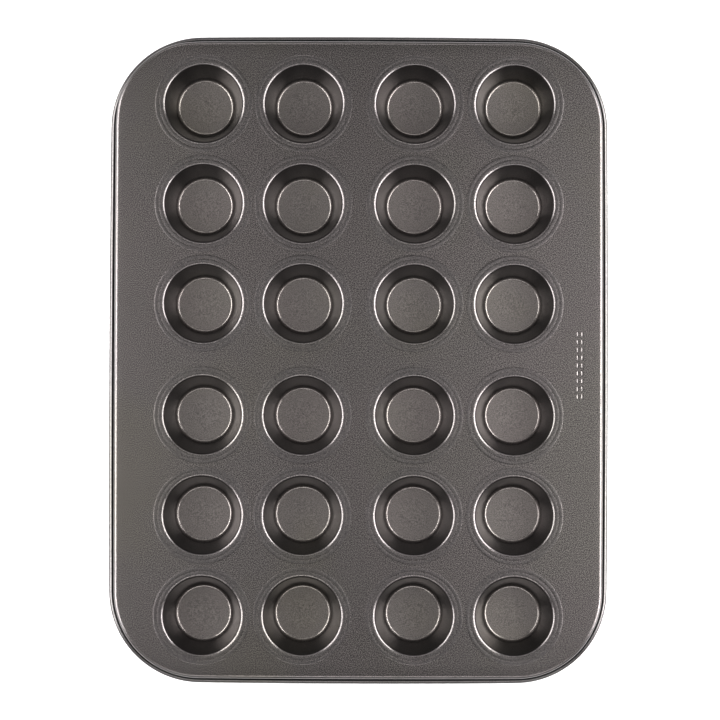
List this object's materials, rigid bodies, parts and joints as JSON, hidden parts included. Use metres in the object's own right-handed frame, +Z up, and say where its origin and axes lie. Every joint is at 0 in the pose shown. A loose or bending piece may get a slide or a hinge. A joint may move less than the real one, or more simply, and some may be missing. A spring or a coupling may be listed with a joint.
{
  "type": "muffin tin",
  "caption": "Rectangular pressed-steel muffin tin with round tapered cups, rounded corners and a wire-reinforced rolled rim.",
  "frame": {"origin": "on the surface that the tin stands on, below the middle of the tin, in the plane of the undersides of the cup bases", "axes": "+Z up, out of the cups' mouths; +Y along the length; +X across the width"},
  "size_m": [0.27, 0.35, 0.0206],
  "materials": {
    "coated_steel": "satin",
    "wire_steel": "satin"
  },
  "bodies": {
    "root": {"cup_r1_c1": "coated_steel", "cup_r1_c2": "coated_steel", "cup_r1_c3": "coated_steel", "cup_r1_c4": "coated_steel", "cup_r2_c1": "coated_steel", "cup_r2_c2": "coated_steel", "cup_r2_c3": "coated_steel", "cup_r2_c4": "coated_steel", "cup_r3_c1": "coated_steel", "cup_r3_c2": "coated_steel", "cup_r3_c3": "coated_steel", "cup_r3_c4": "coated_steel", "cup_r4_c1": "coated_steel", "cup_r4_c2": "coated_steel", "cup_r4_c3": "coated_steel", "cup_r4_c4": "coated_steel", "cup_r5_c1": "coated_steel", "cup_r5_c2": "coated_steel", "cup_r5_c3": "coated_steel", "cup_r5_c4": "coated_steel", "cup_r6_c1": "coated_steel", "cup_r6_c2": "coated_steel", "cup_r6_c3": "coated_steel", "cup_r6_c4": "coated_steel", "rim_left": "coated_steel", "rim_right": "coated_steel", "rim_front": "coated_steel", "rim_back": "coated_steel", "corner_back_right": "coated_steel", "corner_back_left": "coated_steel", "corner_front_left": "coated_steel", "corner_front_right": "coated_steel", "rim_wire": "wire_steel"}
  },
  "joints": []
}
